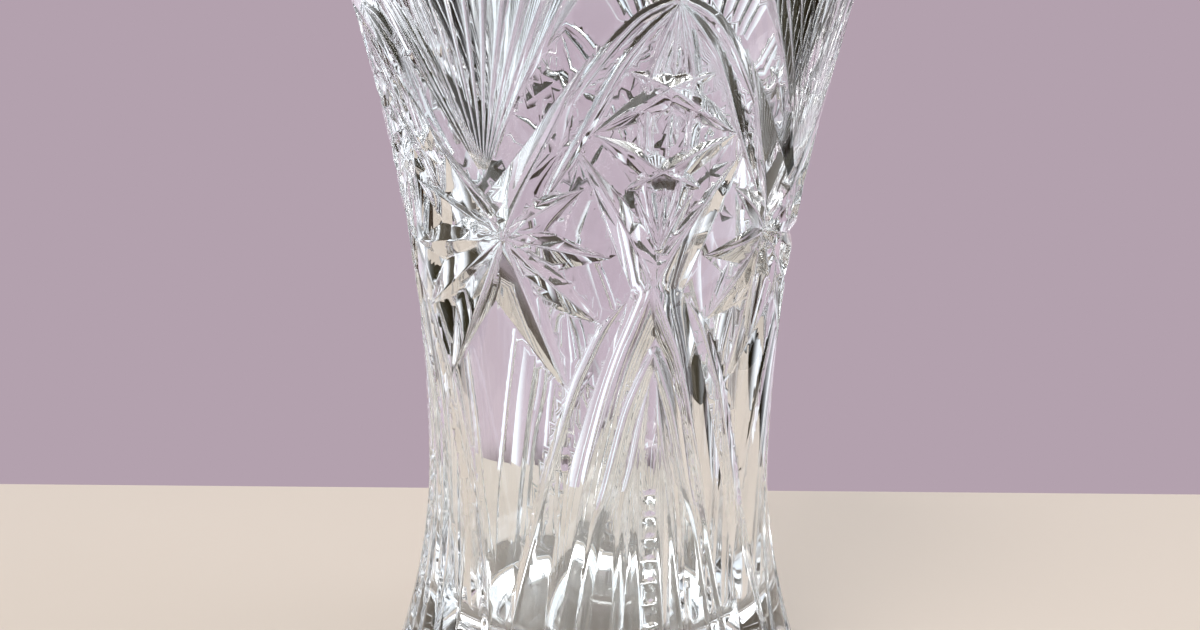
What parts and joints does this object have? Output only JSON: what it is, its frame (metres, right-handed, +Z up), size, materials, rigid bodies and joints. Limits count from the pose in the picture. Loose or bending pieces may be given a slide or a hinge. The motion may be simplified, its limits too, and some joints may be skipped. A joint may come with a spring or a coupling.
{
  "type": "flower vase",
  "caption": "Heavy round vase of clear cut crystal, flared at the rim and foot, with stars, fans, arches and a fluted skirt cut into its wall.",
  "frame": {"origin": "centre of the foot's resting plane", "axes": "+Z up along the vase's axis; a hob-star panel faces -Y, +Y, +X and -X"},
  "size_m": [0.1338, 0.1338, 0.205],
  "materials": {
    "lead_crystal": "clear colourless lead crystal, wheel-cut and polished"
  },
  "bodies": {
    "root": {"vase_body": "lead_crystal"}
  },
  "joints": []
}
